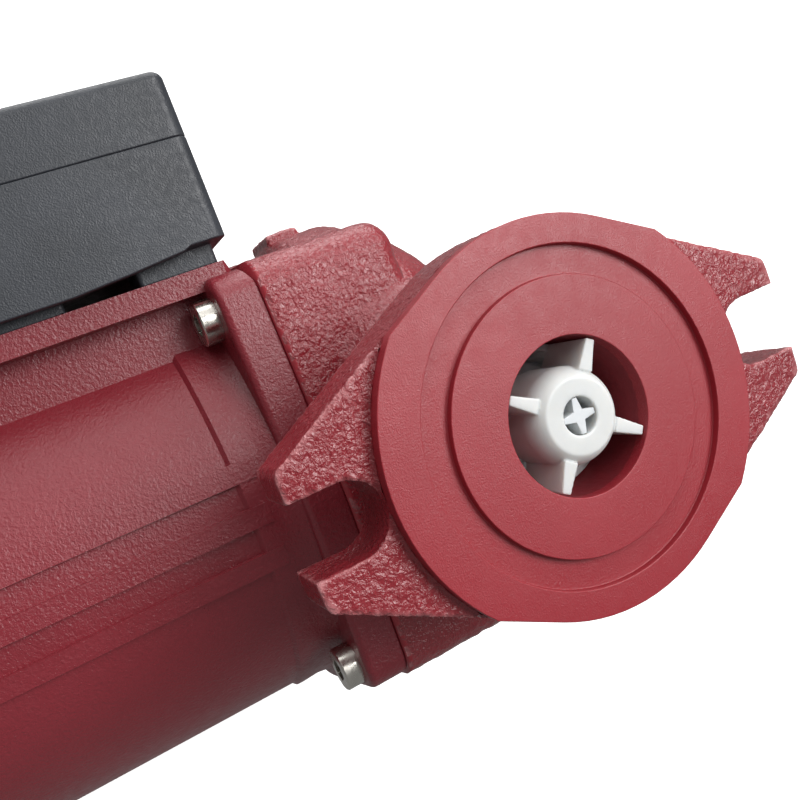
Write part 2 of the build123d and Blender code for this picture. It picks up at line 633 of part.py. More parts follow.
with BuildPart() as motor_housing:
    # the turned skin: a hollow cove behind the flange, a low bead, the shell and its rounded end
    with BuildSketch(SECTION):
        with BuildLine():
            Polyline((JOINT, 0), (JOINT, COVE_START[1]), COVE_START)
            ThreePointArc(COVE_START, COVE_MIDDLE, COVE_END)
            Polyline(
                COVE_END, (BEAD_FLAT, BEAD_RADIUS), (BEAD_END - BEAD_EDGE, BEAD_RADIUS),
                (BEAD_END + BEAD_EDGE, MOTOR_RADIUS), (MOTOR_END - MOTOR_END_ROUND, MOTOR_RADIUS),
            )
            RadiusArc(
                (MOTOR_END - MOTOR_END_ROUND, MOTOR_RADIUS), (MOTOR_END, MOTOR_RADIUS - MOTOR_END_ROUND),
                MOTOR_END_ROUND,
            )
            Polyline((MOTOR_END, MOTOR_RADIUS - MOTOR_END_ROUND), (MOTOR_END, 0), (JOINT, 0))
        make_face()
    revolve(axis=SHAFT_AXIS)
    # the square flange that carries the screw heads
    add(motor_flange.part)
    # the pad that carries the terminal box, with a lip that overhangs its side walls
    with BuildSketch(across(JOINT)):
        with Locations((-MOTOR_RADIUS / 2, 0)):
            Rectangle(MOTOR_RADIUS, 2 * PAD_WALL_HALF_WIDTH)
    extrude(amount=PAD_END - JOINT)
    with BuildSketch(level(PAD_HEIGHT)) as lip:
        with Locations((JOINT, 0)):
            Rectangle(PAD_END - JOINT, 2 * PAD_HALF_WIDTH, align=(Align.MIN, Align.CENTER))
        chamfer(lip.vertices().group_by(Axis.Y)[-1], PAD_CORNER)
    extrude(amount=-PAD_LIP)
    # the relief of the joint face next to the lip, clear of the bearing plate's register
    for base, direction in ((Plane.XY, 1), (Plane.XY.offset(PORT_TO_PORT), -1)):
        with BuildSketch(base):
            with BuildLine():
                Polyline(
                    (-RELIEF_SPAN[0], -JOINT), (-RELIEF_SPAN[1], -JOINT),
                    (-RELIEF_SPAN[1], -JOINT - RELIEF_DEPTH), close=True,
                )
            make_face()
        extrude(amount=direction * (SHAFT_HEIGHT - RELIEF_CLEAR), mode=Mode.SUBTRACT)
    # three low ribs along the top and three along the underside
    for middle in (90, -90):
        with BuildSketch(across(BEAD_START)):
            with PolarLocations(
                MOTOR_RADIUS + RIB_HEIGHT, 3, middle - RIB_STEP_DEGREES, 2 * RIB_STEP_DEGREES,
                endpoint=True,
            ):
                Rectangle(RIB_HEIGHT + RIB_ROOT, RIB_WIDTH, align=(Align.MAX, Align.CENTER))
        extrude(amount=RIB_END - BEAD_START)
    # the inside: a register for the can's flange, the stator bore and the can's tail
    revolve(
        turned(
            (JOINT, 0), (JOINT, REGISTER_RADIUS), (JOINT + REGISTER_DEPTH, REGISTER_RADIUS),
            (JOINT + REGISTER_DEPTH, MOTOR_BORE), (INNER_END, MOTOR_BORE), (INNER_END, TAIL_BOSS),
            (TAIL_START, TAIL_BOSS), (TAIL_START, TAIL_BORE), (INNER_END, TAIL_BORE),
            (INNER_END, VENT_BORE), (VENT_SEAT, VENT_BORE), (VENT_SEAT, VENT_SEAT_RADIUS),
            (MOTOR_END, VENT_SEAT_RADIUS), (MOTOR_END, 0),
        ),
        axis=SHAFT_AXIS, mode=Mode.SUBTRACT,
    )
    # the shallow seat of the nameplate
    with BuildSketch(across(MOTOR_END)):
        Circle(NAMEPLATE_RADIUS)
        Circle(NAMEPLATE_BORE, mode=Mode.SUBTRACT)
    extrude(amount=-NAMEPLATE_SEAT, mode=Mode.SUBTRACT)
    # clearance holes of the joint screws, tapped holes of the box screws, the hole for the leads
    with BuildSketch(across(JOINT)):
        with Locations(*JOINT_SCREWS):
            Circle(SCREW_HOLE)
    extrude(amount=SCREW_SEAT - JOINT, mode=Mode.SUBTRACT)
    with BuildSketch(level(PAD_HEIGHT)):
        with Locations(*BOX_SCREWS):
            Circle(BOX_SCREW_TAP)
    extrude(amount=-BOX_SCREW_TAP_DEPTH, mode=Mode.SUBTRACT)
    with BuildSketch(level(PAD_HEIGHT)):
        with Locations(LEAD_PLACE):
            Circle(LEAD_HOLE_RADIUS)
    extrude(amount=-LEAD_HOLE_DEPTH, mode=Mode.SUBTRACT)
motor_housing.part.label = "motor_housing"
export_step(motor_housing.part, "parts/motor_housing.step")

with BuildPart() as housing_screws:
    for place in JOINT_SCREWS:
        seat = shifted(across(SCREW_SEAT), *place)
        add(socket_screw(seat, SCREW_HEAD_RADIUS, SCREW_HEAD_HEIGHT, SCREW_SHANK, SCREW_LENGTH, SCREW_KEY))
housing_screws.part.label = "housing_screws"
export_step(housing_screws.part, "parts/housing_screws.step")

with BuildPart() as nameplate:
    with BuildSketch(across(MOTOR_END - NAMEPLATE_SEAT + RUNNING_GAP)):
        Circle(NAMEPLATE_RADIUS - LOOSE_GAP)
        Circle(NAMEPLATE_BORE + LOOSE_GAP, mode=Mode.SUBTRACT)
    extrude(amount=NAMEPLATE_THICKNESS)
nameplate.part.label = "nameplate"
export_step(nameplate.part, "parts/nameplate.step")

with BuildPart() as vent_plug:
    revolve(turned(*VENT_PLUG), axis=SHAFT_AXIS)
    with BuildSketch(across(VENT_PLUG[-1][0])):
        Rectangle(*VENT_PLUG_SLOT[:2])
    extrude(amount=-VENT_PLUG_SLOT[2], mode=Mode.SUBTRACT)
vent_plug.part.label = "vent_plug"
export_step(vent_plug.part, "parts/vent_plug.step")

with BuildPart() as vent_plug_o_ring:
    add(o_ring(across(VENT_SEAL[0]), *VENT_SEAL[1:]))
vent_plug_o_ring.part.label = "vent_plug_o_ring"
export_step(vent_plug_o_ring.part, "parts/vent_plug_o_ring.step")

# ---------------------------------------------------------------- bearings and the rotor can
with BuildPart() as bearing_plate:
    revolve(turned(*BEARING_PLATE), axis=SHAFT_AXIS)
bearing_plate.part.label = "bearing_plate"
export_step(bearing_plate.part, "parts/bearing_plate.step")

with BuildPart() as front_bearing:
    revolve(ring(*FRONT_BEARING), axis=SHAFT_AXIS)
front_bearing.part.label = "front_bearing"
export_step(front_bearing.part, "parts/front_bearing.step")

CAN_RIM = REGISTER_RADIUS - LOOSE_GAP

with BuildPart() as rotor_can:
    revolve(
        turned(
            (CAN_START, CAN_RADIUS), (CAN_START, CAN_RIM), (CAN_START + CAN_WALL, CAN_RIM),
            (CAN_START + CAN_WALL, CAN_RADIUS + CAN_WALL), (CAN_SHOULDER + CAN_WALL, CAN_RADIUS + CAN_WALL),
            (CAN_SHOULDER + CAN_WALL, CAN_TAIL_RADIUS + CAN_WALL), (CAN_END, CAN_TAIL_RADIUS + CAN_WALL),
            (CAN_END, CAN_TAIL_RADIUS), (CAN_SHOULDER, CAN_TAIL_RADIUS), (CAN_SHOULDER, CAN_RADIUS),
        ),
        axis=SHAFT_AXIS,
    )
rotor_can.part.label = "rotor_can"
export_step(rotor_can.part, "parts/rotor_can.step")

with BuildPart() as can_seal:
    add(o_ring(across(CAN_SEAL[0]), *CAN_SEAL[1:]))
can_seal.part.label = "can_seal"
export_step(can_seal.part, "parts/can_seal.step")

with BuildPart() as rear_bearing:
    revolve(ring(*REAR_BEARING), axis=SHAFT_AXIS)
rear_bearing.part.label = "rear_bearing"
export_step(rear_bearing.part, "parts/rear_bearing.step")

# ---------------------------------------------------------------- rotor
with BuildPart() as shaft:
    revolve(
        turned(
            (SHAFT_START, 0), (SHAFT_START, SHAFT_RADIUS - SHAFT_BEVEL),
            (SHAFT_START + SHAFT_BEVEL, SHAFT_RADIUS), (SHAFT_END - SHAFT_BEVEL, SHAFT_RADIUS),
            (SHAFT_END, SHAFT_RADIUS - SHAFT_BEVEL), (SHAFT_END, 0),
        ),
        axis=SHAFT_AXIS,
    )
shaft.part.label = "shaft"
export_step(shaft.part, "parts/shaft.step")

with BuildPart() as rotor_core:
    revolve(ring(*ROTOR_CORE), axis=SHAFT_AXIS)
rotor_core.part.label = "rotor_core"
export_step(rotor_core.part, "parts/rotor_core.step")

with BuildPart() as rotor_end_rings:
    for end_ring in END_RINGS:
        revolve(ring(*end_ring), axis=SHAFT_AXIS)
rotor_end_rings.part.label = "rotor_end_rings"
export_step(rotor_end_rings.part, "parts/rotor_end_rings.step")

with BuildPart() as rotor_sleeve:
    first = ROTOR_START - SLEEVE_REACH
    last = ROTOR_END + SLEEVE_REACH
    skin = ROTOR_RADIUS + SLEEVE_WALL
    revolve(
        turned(
            (first, ON_SHAFT), (first, skin), (last, skin), (last, ON_SHAFT),
            (last - SLEEVE_WALL, ON_SHAFT), (last - SLEEVE_WALL, ROTOR_RADIUS),
            (first + SLEEVE_WALL, ROTOR_RADIUS), (first + SLEEVE_WALL, ON_SHAFT),
        ),
        axis=SHAFT_AXIS,
    )
rotor_sleeve.part.label = "rotor_sleeve"
export_step(rotor_sleeve.part, "parts/rotor_sleeve.step")

with BuildPart() as thrust_bearing:
    revolve(ring(*THRUST_BEARING), axis=SHAFT_AXIS)
thrust_bearing.part.label = "thrust_bearing"
export_step(thrust_bearing.part, "parts/thrust_bearing.step")

with BuildPart() as thrust_bearing_holder:
    revolve(turned(*THRUST_HOLDER), axis=SHAFT_AXIS)
thrust_bearing_holder.part.label = "thrust_bearing_holder"
export_step(thrust_bearing_holder.part, "parts/thrust_bearing_holder.step")

VANE_MIDDLE_RADIUS = (VANE_INNER_RADIUS + IMPELLER_RADIUS) / 2
MIDDLE_TURN = radians(VANE_SWEEP_DEGREES * VANE_BOW)
END_TURN = radians(VANE_SWEEP_DEGREES)

with BuildPart() as impeller:
    revolve(turned(*IMPELLER_HUB), axis=SHAFT_AXIS)
    # each vane is swept back from the hub to the rim
    with BuildSketch(across(VANE_START)):
        with PolarLocations(0, VANE_COUNT):
            with BuildLine():
                ThreePointArc(
                    (VANE_INNER_RADIUS, 0),
                    (VANE_MIDDLE_RADIUS * cos(MIDDLE_TURN), VANE_MIDDLE_RADIUS * sin(MIDDLE_TURN)),
                    (VANE_OUTER_RADIUS * cos(END_TURN), VANE_OUTER_RADIUS * sin(END_TURN)),
                )
            trace(line_width=VANE_THICKNESS)
    extrude(amount=VANE_HEIGHT)
impeller.part.label = "impeller"
export_step(impeller.part, "parts/impeller.step")

with BuildPart() as impeller_cover:
    revolve(turned(*IMPELLER_COVER), axis=SHAFT_AXIS)
impeller_cover.part.label = "impeller_cover"
export_step(impeller_cover.part, "parts/impeller_cover.step")

with BuildPart() as impeller_nut:
    with BuildSketch(across(NUT_START)):
        RegularPolygon(NUT_FLATS / 2, 6, major_radius=False)
        Circle(ON_SHAFT, mode=Mode.SUBTRACT)
    extrude(amount=NUT_HEIGHT)
impeller_nut.part.label = "impeller_nut"
export_step(impeller_nut.part, "parts/impeller_nut.step")

# ---------------------------------------------------------------- stator
with BuildPart() as stator_core:
    with BuildSketch(across(ROTOR_START)):
        Circle(STATOR_RADIUS)
        Circle(STATOR_BORE, mode=Mode.SUBTRACT)
        with PolarLocations(SLOT_DEPTH[0], STATOR_SLOTS):
            Rectangle(SLOT_DEPTH[1] - SLOT_DEPTH[0], SLOT_WIDTH, align=(Align.MIN, Align.CENTER),
                      mode=Mode.SUBTRACT)
            Rectangle(3 * SLOT_MOUTH, SLOT_MOUTH, mode=Mode.SUBTRACT)
    extrude(amount=ROTOR_END - ROTOR_START)
stator_core.part.label = "stator_core"
export_step(stator_core.part, "parts/stator_core.step")

with BuildPart() as stator_windings:
    inner, outer = END_TURN_RADII
    bevel = END_TURN_BEVEL
    for start in (ROTOR_START - END_TURN_GAP - END_TURN_LENGTH, ROTOR_END + END_TURN_GAP):
        stop = start + END_TURN_LENGTH
        revolve(
            turned(
                (start, inner + bevel), (start, outer - bevel), (start + bevel, outer),
                (stop - bevel, outer), (stop, outer - bevel), (stop, inner + bevel),
                (stop - bevel, inner), (start + bevel, inner),
            ),
            axis=SHAFT_AXIS,
        )
    with BuildSketch(across(ROTOR_START - 2 * END_TURN_GAP)):
        with PolarLocations(SLOT_DEPTH[0] + SLOT_LINER, STATOR_SLOTS):
            Rectangle(
                SLOT_DEPTH[1] - SLOT_DEPTH[0] - 2 * SLOT_LINER, SLOT_WIDTH - 2 * SLOT_LINER,
                align=(Align.MIN, Align.CENTER),
            )
    extrude(amount=ROTOR_END - ROTOR_START + 4 * END_TURN_GAP)
stator_windings.part.label = "stator_windings"
export_step(stator_windings.part, "parts/stator_windings.step")

# ---------------------------------------------------------------- terminal box
CORNERS = [
    (BOX_MIDDLE + along * (BOX_LENGTH / 2 - LID_SCREW_INSET), up * (BOX_HALF_WIDTH - LID_SCREW_INSET))
    for along in (-1, 1) for up in (-1, 1)
]
WELLS = [(along, BLOCK_MIDDLE_UP) for along in TERMINALS]
SKIRT_END = BOX_END - BOX_CORNER


def box_outline(height, inset, corner):
    """The box's rounded rectangle at a height, drawn in from its outer wall by an inset."""
    with BuildSketch(level(height)) as outline:
        with Locations((BOX_MIDDLE, 0)):
            RectangleRounded(BOX_LENGTH - 2 * inset, 2 * (BOX_HALF_WIDTH - inset), corner)
    return outline.sketch


def discs(height, radius, places):
    """Equal discs on a plane of the box, for posts, screw holes and screw wells."""
    with BuildSketch(level(height)) as group:
        with Locations(*places):
            Circle(radius)
    return group.sketch


with BuildPart() as terminal_box_base:
    extrude(box_outline(BOX_BASE, 0, BOX_CORNER), amount=BOX_SPLIT - BOX_BASE)
    # the long sides hang below the floor, further down towards the motor's end
    for up in (BOX_HALF_WIDTH, BOX_WALL - BOX_HALF_WIDTH):
        with BuildSketch(side(up)):
            with BuildLine():
                Polyline(
                    *[(BOX_START + along, height) for along, height in SKIRT_STEP],
                    (SKIRT_END, SKIRT_HEIGHT), (SKIRT_END, BOX_BASE + SKIRT_ROOT),
                    (BOX_START + SKIRT_STEP[0][0], BOX_BASE + SKIRT_ROOT), close=True,
                )
            make_face()
        extrude(amount=BOX_WALL)
    # six feet hold the floor clear of the motor
    with BuildSketch(level(PAD_HEIGHT)):
        for near, far in FOOT_SPANS:
            with Locations(*[((near + far) / 2, up * (FOOT_INNER + FOOT_OUTER) / 2) for up in (-1, 1)]):
                RectangleRounded(far - near, FOOT_OUTER - FOOT_INNER, FOOT_CORNER)
    extrude(amount=BOX_BASE - PAD_HEIGHT)
    extrude(
        box_outline(FLOOR_TOP, BOX_WALL, INNER_CORNER), amount=BOX_SPLIT - FLOOR_TOP, mode=Mode.SUBTRACT
    )
    # posts for the lid's screws and for the ground screw
    extrude(discs(FLOOR_TOP, POST_RADIUS, CORNERS), amount=BOX_SPLIT - FLOOR_TOP)
    extrude(discs(FLOOR_TOP, POST_RADIUS, [GROUND_PLACE]), amount=GROUND_HEIGHT - FLOOR_TOP)
    extrude(discs(BOX_SPLIT, POST_TAP, CORNERS), amount=-POST_TAP_DEPTH, mode=Mode.SUBTRACT)
    extrude(discs(GROUND_HEIGHT, GROUND_TAP, [GROUND_PLACE]), amount=-GROUND_TAP_DEPTH, mode=Mode.SUBTRACT)
    # holes for the box screws, the leads and the gland
    extrude(
        discs(FLOOR_TOP, FLOOR_SCREW_CLEARANCE, BOX_SCREWS), amount=PAD_HEIGHT - FLOOR_TOP,
        mode=Mode.SUBTRACT,
    )
    extrude(discs(FLOOR_TOP, LEAD_HOLE_RADIUS, [LEAD_PLACE]), amount=-FLOOR, mode=Mode.SUBTRACT)
    with BuildSketch(GLAND_PLANE):
        Circle(GLAND_HOLE_RADIUS)
    extrude(amount=-BOX_WALL, mode=Mode.SUBTRACT)
    # the gasket's rebate
    extrude(box_outline(BOX_SPLIT, REBATE, BOX_CORNER - REBATE), amount=-BASE_REBATE_DEPTH,
            mode=Mode.SUBTRACT)
terminal_box_base.part.label = "terminal_box_base"
export_step(terminal_box_base.part, "parts/terminal_box_base.step")

with BuildPart() as terminal_box_lid:
    extrude(box_outline(BOX_SPLIT, 0, BOX_CORNER), amount=BOX_TOP - BOX_SPLIT)
    fillet(terminal_box_lid.faces().sort_by(Axis.X)[0].edges(), LID_EDGE)
    extrude(
        box_outline(BOX_SPLIT, LID_WALL, INNER_CORNER), amount=LID_CEILING - BOX_SPLIT, mode=Mode.SUBTRACT
    )
    extrude(discs(BOX_SPLIT, POST_RADIUS, CORNERS), amount=LID_CEILING - BOX_SPLIT)
    extrude(box_outline(BOX_SPLIT, REBATE, BOX_CORNER - REBATE), amount=LID_REBATE_DEPTH,
            mode=Mode.SUBTRACT)
    extrude(
        discs(BOX_SPLIT, LID_SCREW_CLEARANCE, CORNERS), amount=BOX_TOP - BOX_SPLIT, mode=Mode.SUBTRACT
    )
    extrude(
        discs(LID_SCREW_SEAT, LID_SCREW_WELL, CORNERS), amount=BOX_TOP - LID_SCREW_SEAT,
        mode=Mode.SUBTRACT,
    )
    # the knob's recess and the hole for its stem
    extrude(
        discs(BOX_TOP, KNOB_RECESS_RADIUS, [KNOB_PLACE]), amount=-KNOB_RECESS, mode=Mode.SUBTRACT
    )
    extrude(discs(BOX_TOP, KNOB_STEM_RADIUS + LOOSE_GAP, [KNOB_PLACE]), amount=-LID_WALL,
            mode=Mode.SUBTRACT)
terminal_box_lid.part.label = "terminal_box_lid"
export_step(terminal_box_lid.part, "parts/terminal_box_lid.step")

GASKET_BASE = BOX_SPLIT - BASE_REBATE_DEPTH + RUNNING_GAP

with BuildPart() as box_gasket:
    extrude(box_outline(GASKET_BASE, REBATE + 2 * RUNNING_GAP, INNER_CORNER), amount=GASKET_THICKNESS)
    extrude(
        box_outline(GASKET_BASE, BOX_WALL - 2 * RUNNING_GAP, INNER_CORNER), amount=GASKET_THICKNESS,
        mode=Mode.SUBTRACT,
    )
    extrude(
        discs(GASKET_BASE, POST_RADIUS + 2 * RUNNING_GAP, CORNERS), amount=GASKET_THICKNESS,
        mode=Mode.SUBTRACT,
    )
box_gasket.part.label = "box_gasket"
export_step(box_gasket.part, "parts/box_gasket.step")

with BuildPart() as box_screws:
    for place in BOX_SCREWS:
        add(pan_screw(shifted(level(FLOOR_TOP), *place), *BOX_SCREW))
box_screws.part.label = "box_screws"
export_step(box_screws.part, "parts/box_screws.step")

with BuildPart() as lid_screws:
    for place in CORNERS:
        add(pan_screw(shifted(level(LID_SCREW_SEAT), *place), *LID_SCREW))
lid_screws.part.label = "lid_screws"
export_step(lid_screws.part, "parts/lid_screws.step")

with BuildPart() as ground_screw:
    add(pan_screw(shifted(level(GROUND_HEIGHT), *GROUND_PLACE), *GROUND_SCREW))
ground_screw.part.label = "ground_screw"
export_step(ground_screw.part, "parts/ground_screw.step")

with BuildPart() as terminal_block:
    with BuildSketch(level(FLOOR_TOP)):
        with Locations((sum(BLOCK_SPAN) / 2, BLOCK_MIDDLE_UP)):
            Rectangle(BLOCK_SPAN[1] - BLOCK_SPAN[0], BLOCK_WIDTH)
    extrude(amount=BLOCK_TOP - FLOOR_TOP)
    chamfer(terminal_block.faces().sort_by(Axis.X)[0].edges().filter_by(Axis.Y), BLOCK_BEVEL)
    extrude(discs(BLOCK_TOP, WELL_RADIUS, WELLS), amount=-WELL_DEPTH, mode=Mode.SUBTRACT)
    extrude(discs(BLOCK_TOP, TERMINAL_TAP, WELLS), amount=WIRE_HEIGHT - BLOCK_TOP, mode=Mode.SUBTRACT)
    with BuildSketch(side(BLOCK_MIDDLE_UP + BLOCK_WIDTH)):
        with Locations(*[(along, WIRE_HEIGHT) for along in TERMINALS]):
            Circle(TERMINAL_TUNNEL)
    extrude(amount=2 * BLOCK_WIDTH, mode=Mode.SUBTRACT)
terminal_block.part.label = "terminal_block"
export_step(terminal_block.part, "parts/terminal_block.step")

with BuildPart() as terminal_screws:
    for place in WELLS:
        add(pan_screw(shifted(level(BLOCK_TOP - WELL_DEPTH), *place), *TERMINAL_SCREW))
terminal_screws.part.label = "terminal_screws"
export_step(terminal_screws.part, "parts/terminal_screws.step")

with BuildPart() as capacitor:
    with BuildSketch(level(FLOOR_TOP)):
        with Locations(CAPACITOR_PLACE):
            RectangleRounded(*CAPACITOR_SIZE[:2], CAPACITOR_CORNER)
    extrude(amount=CAPACITOR_SIZE[2])
    fillet(capacitor.faces().sort_by(Axis.X)[0].edges(), CAPACITOR_EDGE)
capacitor.part.label = "capacitor"
export_step(capacitor.part, "parts/capacitor.step")

with BuildPart() as speed_switch:
    with BuildSketch(level(FLOOR_TOP)):
        with Locations(KNOB_PLACE):
            RectangleRounded(SWITCH_SIZE, SWITCH_SIZE, INNER_CORNER)
    extrude(amount=SWITCH_HEIGHT)
    extrude(
        discs(FLOOR_TOP + SWITCH_HEIGHT, KNOB_STEM_RADIUS + LOOSE_GAP, [KNOB_PLACE]),
        amount=-SWITCH_SOCKET, mode=Mode.SUBTRACT,
    )
speed_switch.part.label = "speed_switch"
export_step(speed_switch.part, "parts/speed_switch.step")

with BuildPart() as speed_knob:
    extrude(discs(KNOB_BASE, KNOB_RADIUS, [KNOB_PLACE]), amount=KNOB_DISC)
    fillet(speed_knob.faces().sort_by(Axis.X)[0].edges(), KNOB_DISC_EDGE)
    with BuildSketch(level(KNOB_BASE + KNOB_DISC)):
        with Locations(KNOB_PLACE):
            SlotOverall(2 * (KNOB_RADIUS - KNOB_GRIP_INSET), KNOB_GRIP_WIDTH, rotation=90)
    extrude(amount=KNOB_GRIP)
    fillet(speed_knob.faces().sort_by(Axis.X)[0].edges(), KNOB_GRIP_EDGE)
    extrude(discs(KNOB_BASE, KNOB_STEM_RADIUS, [KNOB_PLACE]), amount=-KNOB_STEM_LENGTH)
speed_knob.part.label = "speed_knob"
export_step(speed_knob.part, "parts/speed_knob.step")

# three leads run from the windings, up through the pad, to the terminal block
with BuildPart() as motor_leads:
    for number, along in enumerate(reversed(TERMINALS)):
        lead_up = LEAD_PLACE[1] + (number - 1) * WIRE_PITCH
        with BuildLine() as route:
            FilletPolyline(
                (-LEAD_START[0], -LEAD_START[1], SHAFT_HEIGHT + lead_up),
                (-LEAD_START[0], -LEAD_PLACE[0], SHAFT_HEIGHT + lead_up),
                (-WIRE_HEIGHT, -LEAD_PLACE[0], SHAFT_HEIGHT + lead_up),
                (-WIRE_HEIGHT, -along, SHAFT_HEIGHT + lead_up),
                (-WIRE_HEIGHT, -along, SHAFT_HEIGHT + BLOCK_MIDDLE_UP),
                radius=LEAD_BEND,
            )
        with BuildSketch(Plane(origin=route.line @ 0, z_dir=route.line % 0)):
            Circle(WIRE_RADIUS)
        sweep(path=route.line)
motor_leads.part.label = "motor_leads"
export_step(motor_leads.part, "parts/motor_leads.step")

# ---------------------------------------------------------------- cable gland
with BuildPart() as cable_gland_body:
    with BuildSketch(GLAND_PLANE):
        RegularPolygon(GLAND_FLATS / 2, 6, major_radius=False, rotation=30)
    extrude(amount=GLAND_HEX_HEIGHT)
    with BuildSketch(GLAND_PLANE):
        Circle(GLAND_HOLE_RADIUS - 2 * RUNNING_GAP)
    extrude(amount=-GLAND_THREAD)
    with BuildSketch(GLAND_PLANE):
        Circle(GLAND_BARREL_RADIUS)
    extrude(amount=GLAND_BARREL)
    with BuildSketch(GLAND_PLANE.offset(-GLAND_THREAD)):
        Circle(GLAND_THREAD_BORE)
    extrude(amount=GLAND_THREAD + GLAND_BARREL, mode=Mode.SUBTRACT)
    with BuildSketch(GLAND_PLANE.offset(SEAL_START - 2 * RUNNING_GAP)):
        Circle(SEAL_RADIUS + 2 * RUNNING_GAP)
    extrude(amount=GLAND_BARREL, mode=Mode.SUBTRACT)
cable_gland_body.part.label = "cable_gland_body"
export_step(cable_gland_body.part, "parts/cable_gland_body.step")

with BuildPart() as cable_gland_seal:
    with BuildSketch(GLAND_PLANE.offset(SEAL_START)):
        Circle(SEAL_RADIUS)
        Circle(CABLE_BORE, mode=Mode.SUBTRACT)
    extrude(amount=SEAL_LENGTH)
cable_gland_seal.part.label = "cable_gland_seal"
export_step(cable_gland_seal.part, "parts/cable_gland_seal.step")

NUT_PLANE = GLAND_PLANE.offset(GLAND_HEX_HEIGHT + LOOSE_GAP)
SEAL_END = SEAL_START + SEAL_LENGTH + 2 * RUNNING_GAP

with BuildPart() as cable_gland_nut:
    with BuildSketch(NUT_PLANE):
        Circle(GLAND_NUT_RADIUS)
    extrude(amount=GLAND_END - GLAND_HEX_HEIGHT - LOOSE_GAP)
    fillet(cable_gland_nut.faces().sort_by(Axis.Z)[0].edges(), GLAND_NUT_ROUND)
    # finger grooves around the nut
    with BuildSketch(NUT_PLANE):
        with PolarLocations(GLAND_NUT_RADIUS + GRIP_GROOVE_RADIUS / 2, GRIP_GROOVES):
            Circle(GRIP_GROOVE_RADIUS)
    extrude(amount=GRIP_GROOVE_LENGTH, mode=Mode.SUBTRACT)
    with BuildSketch(NUT_PLANE):
        Circle(GLAND_NUT_BORE)
    extrude(amount=GLAND_BARREL - GLAND_HEX_HEIGHT, mode=Mode.SUBTRACT)
    with BuildSketch(GLAND_PLANE.offset(GLAND_BARREL)):
        Circle(SEAL_RADIUS + 2 * RUNNING_GAP)
    extrude(amount=SEAL_END - GLAND_BARREL, mode=Mode.SUBTRACT)
    with BuildSketch(GLAND_PLANE.offset(GLAND_BARREL)):
        Circle(GLAND_MOUTH)
    extrude(amount=GLAND_END - GLAND_BARREL, mode=Mode.SUBTRACT)
cable_gland_nut.part.label = "cable_gland_nut"
export_step(cable_gland_nut.part, "parts/cable_gland_nut.step")

with BuildPart() as cable_gland_locknut:
    with BuildSketch(GLAND_PLANE.offset(-BOX_WALL)):
        RegularPolygon(LOCKNUT_FLATS / 2, 6, major_radius=False, rotation=30)
        Circle(GLAND_HOLE_RADIUS, mode=Mode.SUBTRACT)
    extrude(amount=-LOCKNUT_HEIGHT)
cable_gland_locknut.part.label = "cable_gland_locknut"
export_step(cable_gland_locknut.part, "parts/cable_gland_locknut.step")

# ---------------------------------------------------------------- check valve
def below(depth):
    """The height of a place that lies a depth below the discharge flange's face."""
    return PORT_TO_PORT - depth


def star(arms):
    """The corners of the stem's cross section: narrow arms on a small core."""
    corners = []
    for arm in range(arms):
        turn = radians(STEM_TURN_DEGREES + arm * 360 / arms)
        for offset in (-STEM_ARM_HALF_WIDTH, STEM_ARM_HALF_WIDTH):
            corners.append((STEM_ARM_RADIUS * cos(turn) - offset * sin(turn),
                            STEM_ARM_RADIUS * sin(turn) + offset * cos(turn)))
        between = turn + radians(180 / arms)
        corners.append((STEM_CORE_RADIUS * cos(between), STEM_CORE_RADIUS * sin(between)))
    return corners


def blade(root):
    """The cross section of a fin that narrows from its root to the sleeve's wall."""
    (near, near_half), (far, far_half) = root, FIN_TIP
    return [(near, near_half), (far, far_half), (far, -far_half), (near, -near_half)]


HUB_ROUND = ((6.2, below(HUB_TOP)), (7.5, below(1.6)), (HUB_RADIUS, below(4.6)))

with BuildPart() as check_valve_cage:
    # the hub: a cup, open below, with a rounded roof that guides the poppet's stem
    with BuildSketch(Plane.XZ):
        with BuildLine():
            Line((STEM_BORE, below(HUB_TOP)), HUB_ROUND[0])
            ThreePointArc(*HUB_ROUND)
            Polyline(HUB_ROUND[2], (HUB_RADIUS, below(HUB_BOTTOM)),
                     (HUB_RADIUS - HUB_WALL, below(HUB_BOTTOM)),
                     (HUB_RADIUS - HUB_WALL, below(HUB_TOP + HUB_ROOF)),
                     (STEM_BORE, below(HUB_TOP + HUB_ROOF)), (STEM_BORE, below(HUB_TOP)))
        make_face()
    revolve(axis=Axis.Z)
    # the fins join the hub to the sleeve; below the hub they shrink to guide ribs
    with BuildSketch(Plane.XY.offset(below(HUB_BOTTOM))):
        with PolarLocations(0, FIN_COUNT, FIN_START_DEGREES):
            Polygon(*blade(FIN_ROOT), align=None)
    extrude(amount=HUB_BOTTOM - FIN_TOP)
    with BuildSketch(Plane.XY.offset(below(SLEEVE_BOTTOM))):
        with PolarLocations(0, FIN_COUNT, FIN_START_DEGREES):
            Polygon(*blade(GUIDE_ROOT), align=None)
    extrude(amount=SLEEVE_BOTTOM - HUB_BOTTOM)
    with BuildSketch(Plane.XY.offset(below(SLEEVE_BOTTOM))):
        Circle(VALVE_RADIUS)
        Circle(SLEEVE_BORE, mode=Mode.SUBTRACT)
    extrude(amount=SLEEVE_BOTTOM - SLEEVE_TOP)
check_valve_cage.part.label = "check_valve_cage"
export_step(check_valve_cage.part, "parts/check_valve_cage.step")

GROOVE_BASE, GROOVE_REACH = VALVE_RING_GROOVE
SEAT_TOP = SLEEVE_BOTTOM + 2 * RUNNING_GAP
SEAT_BOTTOM = VALVE_SHOULDER - 2 * RUNNING_GAP

